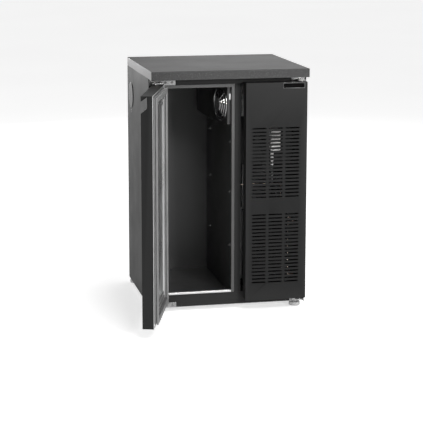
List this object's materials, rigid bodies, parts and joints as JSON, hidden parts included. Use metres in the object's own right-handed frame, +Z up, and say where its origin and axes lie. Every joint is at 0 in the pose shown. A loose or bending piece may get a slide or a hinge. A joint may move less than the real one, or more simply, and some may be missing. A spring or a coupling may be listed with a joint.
{
  "type": "under counter fridge",
  "caption": "Compact under-counter keg fridge: insulated cabinet with a swinging door, keg space, fan-cooled evaporator, and a louvred machine compartment on adjustable feet.",
  "frame": {"origin": "on the floor under the feet, in the middle of the footprint with the door standing open", "axes": "+Z up, +X to the cabinet's right as seen from the front, +Y towards its back; the door opens towards -Y"},
  "size_m": [0.6307, 0.7988, 0.85],
  "materials": {
    "black_steel": "satin",
    "worktop_steel": "satin",
    "bright_steel": "polished",
    "zinc_steel": "satin",
    "galvanised": "matte",
    "liner_dark": "satin",
    "strip_grey": "satin",
    "seal_grey": "matte",
    "foam": "matte",
    "board": "matte",
    "aluminium_fins": "satin",
    "copper": "satin",
    "compressor_black": "gloss",
    "black_plastic": "satin",
    "dark_rubber": "matte",
    "white_plastic": "gloss",
    "grey_plastic": "satin",
    "lamp_lens": "gloss",
    "wire_chrome": "polished",
    "cable_grey": "satin"
  },
  "bodies": {
    "cabinet": {"worktop": "worktop_steel", "worktop_board": "board", "left_side_panel": "black_steel", "right_side_panel": "black_steel", "back_panel": "galvanised", "base_pan": "galvanised", "front_header": "black_steel", "front_sill": "black_steel", "left_stile": "black_steel", "mullion": "black_steel", "breaker_strip": "strip_grey", "sill_strip": "bright_steel", "liner_left": "liner_dark", "liner_right": "liner_dark", "liner_floor": "liner_dark", "liner_ceiling": "liner_dark", "liner_back": "liner_dark", "insulation_foam": "foam", "partition_panel": "galvanised", "line_port_cap": "black_plastic", "shelf_clips": "zinc_steel", "evaporator_cover": "liner_dark", "evaporator_fan_frame": "black_plastic", "evaporator_fan_guard": "wire_chrome", "evaporator_coil": "aluminium_fins", "drip_tray": "black_plastic", "drain_tube": "black_plastic", "interior_lamp_lens": "lamp_lens", "condenser_coil": "compressor_black", "condenser_shroud": "galvanised", "condenser_fan_motor": "galvanised", "compressor": "compressor_black", "compressor_grommets": "dark_rubber", "relay_box": "black_plastic", "evaporation_tray": "black_plastic", "refrigerant_pipes": "copper", "filter_drier": "copper", "control_plate": "black_steel", "control_box": "white_plastic", "wiring_loom": "cable_grey", "mains_inlet": "black_plastic", "door_hinge_brackets": "zinc_steel", "panel_hinge_brackets": "zinc_steel", "hinge_pins": "zinc_steel", "cabinet_screws": "zinc_steel"},
    "door": {"door_skin": "black_steel", "door_foam": "foam", "door_inner_panel": "bright_steel", "door_seal": "seal_grey", "door_bushes": "black_plastic"},
    "service_door": {"service_panel": "black_steel", "badge_plate": "black_plastic", "panel_catches": "zinc_steel"},
    "cold_fan": {"evaporator_fan_wheel": "black_plastic"},
    "condenser_fan": {"condenser_fan_wheel": "aluminium_fins"},
    "knob": {"thermostat_knob": "black_plastic"},
    "foot_front_left_body": {"foot_front_left": "grey_plastic"},
    "foot_front_right_body": {"foot_front_right": "grey_plastic"},
    "foot_back_left_body": {"foot_back_left": "grey_plastic"},
    "foot_back_right_body": {"foot_back_right": "grey_plastic"}
  },
  "joints": [
    {"name": "door_swing", "type": "hinge", "parent": "cabinet", "child": "door", "pos_m": [-0.2146, -0.1036, 0.4245], "axis": [0, 0, 1], "range_deg": [-8, 107]},
    {"name": "service_door_swing", "type": "hinge", "parent": "cabinet", "child": "service_door", "pos_m": [0.2924, -0.1036, 0.4245], "axis": [0, 0, 1], "range_deg": [0, 105]},
    {"name": "cold_fan_spin", "type": "hinge", "parent": "cabinet", "child": "cold_fan", "pos_m": [0.03211, 0.0144, 0.72], "axis": [-0.9877, -0.1564, 0], "continuous": true},
    {"name": "condenser_fan_spin", "type": "hinge", "parent": "cabinet", "child": "condenser_fan", "pos_m": [0.1814, 0.0429, 0.223], "axis": [0, -1, 0], "continuous": true},
    {"name": "knob_turn", "type": "hinge", "parent": "cabinet", "child": "knob", "pos_m": [0.1654, 0.0194, 0.59], "axis": [0, -1, 0], "range_deg": [0, 300]},
    {"name": "foot_front_left_height", "type": "slide", "parent": "cabinet", "child": "foot_front_left_body", "axis": [0, 0, -1], "range_m": [0, 0.012]},
    {"name": "foot_front_right_height", "type": "slide", "parent": "cabinet", "child": "foot_front_right_body", "axis": [0, 0, -1], "range_m": [0, 0.012]},
    {"name": "foot_back_left_height", "type": "slide", "parent": "cabinet", "child": "foot_back_left_body", "axis": [0, 0, -1], "range_m": [0, 0.012]},
    {"name": "foot_back_right_height", "type": "slide", "parent": "cabinet", "child": "foot_back_right_body", "axis": [0, 0, -1], "range_m": [0, 0.012]}
  ]
}
